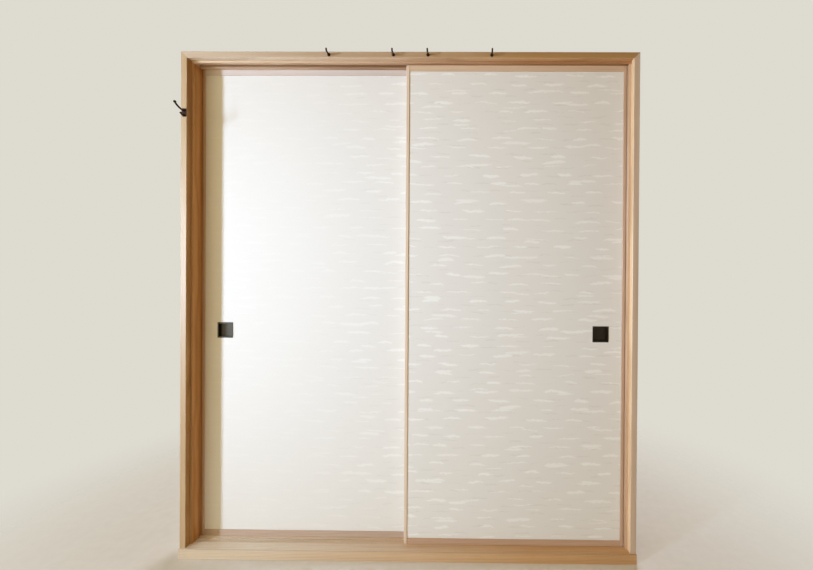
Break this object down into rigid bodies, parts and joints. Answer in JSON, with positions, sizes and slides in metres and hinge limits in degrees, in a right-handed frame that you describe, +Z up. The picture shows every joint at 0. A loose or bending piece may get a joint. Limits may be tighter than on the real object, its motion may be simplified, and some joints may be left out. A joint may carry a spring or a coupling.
{
  "type": "sliding closet panels in a frame",
  "caption": "Opaque paper-covered closet panels that slide past each other in a grooved wooden frame, with square recessed pulls, mitred casing and small hooks.",
  "frame": {"origin": "middle of the sill's underside, halfway along the sill and halfway across its depth", "axes": "+X to the right along the sill as seen from the room, +Y into the closet, +Z up"},
  "size_m": [1.68, 0.1485, 1.872],
  "materials": {
    "frame_wood": "planed pale softwood with a thin satin finish",
    "rim_wood": "planed pale softwood, satin",
    "core_wood": "sawn softwood, unfinished",
    "front_paper": "thick off-white paper with a faint pattern of drifting mist, matt",
    "back_paper": "plain off-white backing paper, matt",
    "pull_metal": "black, half matt",
    "hook_metal": "dark bronze, satin",
    "fixing_steel": "zinc plated"
  },
  "bodies": {
    "frame": {"sill": "frame_wood", "head_track": "frame_wood", "left_jamb": "frame_wood", "right_jamb": "frame_wood", "left_casing": "frame_wood", "right_casing": "frame_wood", "head_casing": "frame_wood", "frame_screws": "fixing_steel", "coat_hook": "hook_metal", "coat_hook_screws": "hook_metal", "head_hook_1": "hook_metal", "head_hook_2": "hook_metal", "head_hook_3": "hook_metal", "head_hook_4": "hook_metal"},
    "left_panel": {"left_panel_outer_stile": "rim_wood", "left_panel_meeting_stile": "rim_wood", "left_panel_bottom_rail": "rim_wood", "left_panel_top_rail": "rim_wood", "left_panel_core_edge_bars": "core_wood", "left_panel_lattice_crossbars": "core_wood", "left_panel_lattice_uprights": "core_wood", "left_panel_corner_braces": "core_wood", "left_panel_pull_board": "core_wood", "left_panel_front_paper": "front_paper", "left_panel_back_paper": "back_paper", "left_panel_pull_cup": "pull_metal", "left_panel_pull_nails": "pull_metal", "left_panel_rail_nails": "fixing_steel", "left_panel_stile_pins": "fixing_steel"},
    "right_panel": {"right_panel_outer_stile": "rim_wood", "right_panel_meeting_stile": "rim_wood", "right_panel_bottom_rail": "rim_wood", "right_panel_top_rail": "rim_wood", "right_panel_core_edge_bars": "core_wood", "right_panel_lattice_crossbars": "core_wood", "right_panel_lattice_uprights": "core_wood", "right_panel_corner_braces": "core_wood", "right_panel_pull_board": "core_wood", "right_panel_front_paper": "front_paper", "right_panel_back_paper": "back_paper", "right_panel_pull_cup": "pull_metal", "right_panel_pull_nails": "pull_metal", "right_panel_rail_nails": "fixing_steel", "right_panel_stile_pins": "fixing_steel"}
  },
  "joints": [
    {"name": "left_panel_slide", "type": "slide", "parent": "frame", "child": "left_panel", "axis": [1, 0, 0], "range_m": [0, 0.7945]},
    {"name": "right_panel_slide", "type": "slide", "parent": "frame", "child": "right_panel", "axis": [1, 0, 0], "range_m": [-0.7925, 0.002]}
  ]
}
